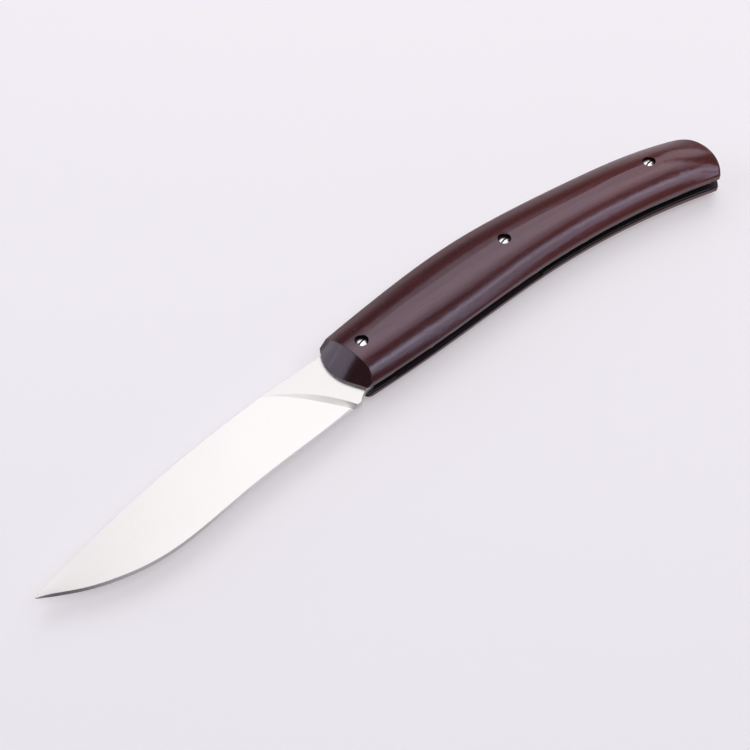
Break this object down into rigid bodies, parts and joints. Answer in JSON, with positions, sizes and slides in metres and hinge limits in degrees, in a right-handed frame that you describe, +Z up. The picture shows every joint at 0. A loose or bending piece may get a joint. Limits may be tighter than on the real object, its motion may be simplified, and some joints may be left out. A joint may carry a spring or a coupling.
{
  "type": "folding pocket knife",
  "caption": "Folding pocket knife lying open: ground drop-point blade on a pivot, arched dark wood scales over steel liners, liner lock, slotted screws sunk in the wood.",
  "frame": {"origin": "middle of the open knife's box, on the plane it lies on", "axes": "+X from the blade's tip to the handle's tail, +Y to the back of the handle, +Z up through the left scale, along the pivot"},
  "size_m": [0.2122, 0.03, 0.013],
  "materials": {
    "blade_steel": "satin ground",
    "wood": "oiled and polished",
    "liner_steel": "dark from heat treatment",
    "pin_steel": "turned",
    "screw_steel": "polished",
    "washer_bronze": "plain"
  },
  "bodies": {
    "handle": {"left_scale": "wood", "right_scale": "wood", "left_liner": "liner_steel", "right_liner": "liner_steel", "left_washer": "washer_bronze", "right_washer": "washer_bronze", "pivot_barrel": "pin_steel", "stop_pin": "pin_steel", "back_spacer": "liner_steel", "front_spacer_pin": "pin_steel", "rear_spacer_pin": "pin_steel", "tail_standoff": "pin_steel", "left_pivot_screw": "screw_steel", "right_pivot_screw": "screw_steel", "left_middle_screw": "screw_steel", "right_middle_screw": "screw_steel", "left_tail_screw": "screw_steel", "right_tail_screw": "screw_steel"},
    "blade": {"blade": "blade_steel"},
    "lock": {"lock_bar": "liner_steel", "detent_ball": "pin_steel"}
  },
  "joints": [
    {"name": "blade_fold", "type": "hinge", "parent": "handle", "child": "blade", "pos_m": [-0.00592, 0.00299, 0.0065], "axis": [0, 0, 1], "range_deg": [0, 170], "deforming": ["lock_bar", "detent_ball"]},
    {"name": "lock_release", "type": "hinge", "parent": "handle", "child": "lock", "pos_m": [0.04706, 0.00299, 0.0051], "axis": [0, 1, 0], "range_deg": [-0.701, 0]}
  ],
  "couplings": [
    {"joint": "lock_release", "follows": "blade_fold", "ratio": -0.00412}
  ]
}
